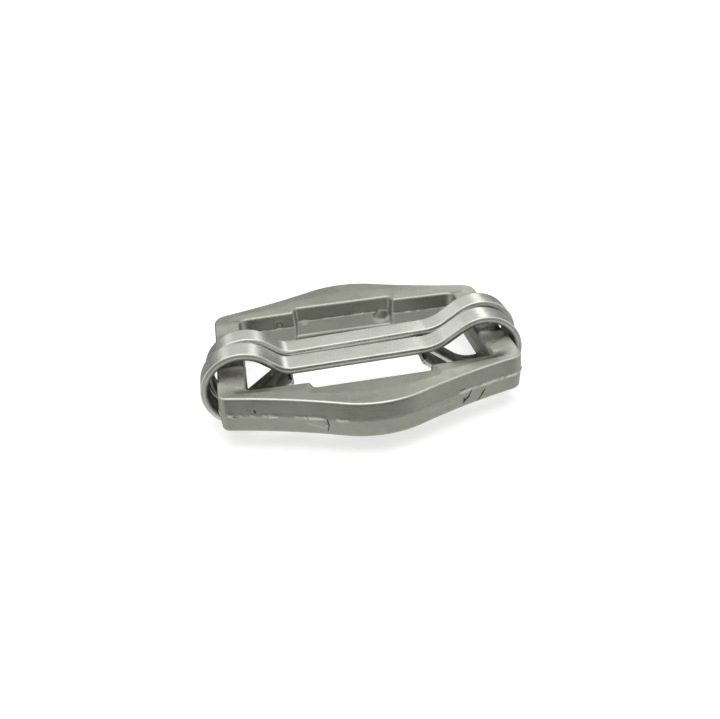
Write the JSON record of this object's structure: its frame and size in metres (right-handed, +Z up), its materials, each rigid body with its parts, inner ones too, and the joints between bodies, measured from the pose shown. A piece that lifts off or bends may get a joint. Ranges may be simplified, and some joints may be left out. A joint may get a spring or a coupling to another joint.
{
  "type": "webbing buckle slider",
  "caption": "Die-cast slide buckle: oblong frame with loose bent flat-wire strips that slide along its side rails and grip webbing against the bars.",
  "frame": {"origin": "centre of the frame's opening, on the parting plane of the casting", "axes": "+Z up through the opening, +X along the webbing's width, +Y from the front bar to the rear bar along the side rails"},
  "size_m": [0.0442, 0.0346, 0.0112],
  "materials": {
    "satin_casting": "satin plated zinc casting",
    "bright_strip": "smooth satin plating"
  },
  "bodies": {
    "frame": {"cast_frame": "satin_casting"},
    "front_strip_body": {"front_strip": "bright_strip"},
    "rear_strip_body": {"rear_strip": "bright_strip"}
  },
  "joints": [
    {"name": "front_strip_slide", "type": "slide", "parent": "frame", "child": "front_strip_body", "axis": [0, 1, 0], "range_m": [-0.0022, 0.0042]},
    {"name": "rear_strip_slide", "type": "slide", "parent": "front_strip_body", "child": "rear_strip_body", "axis": [0, 1, 0], "range_m": [0, 0.0032]}
  ]
}
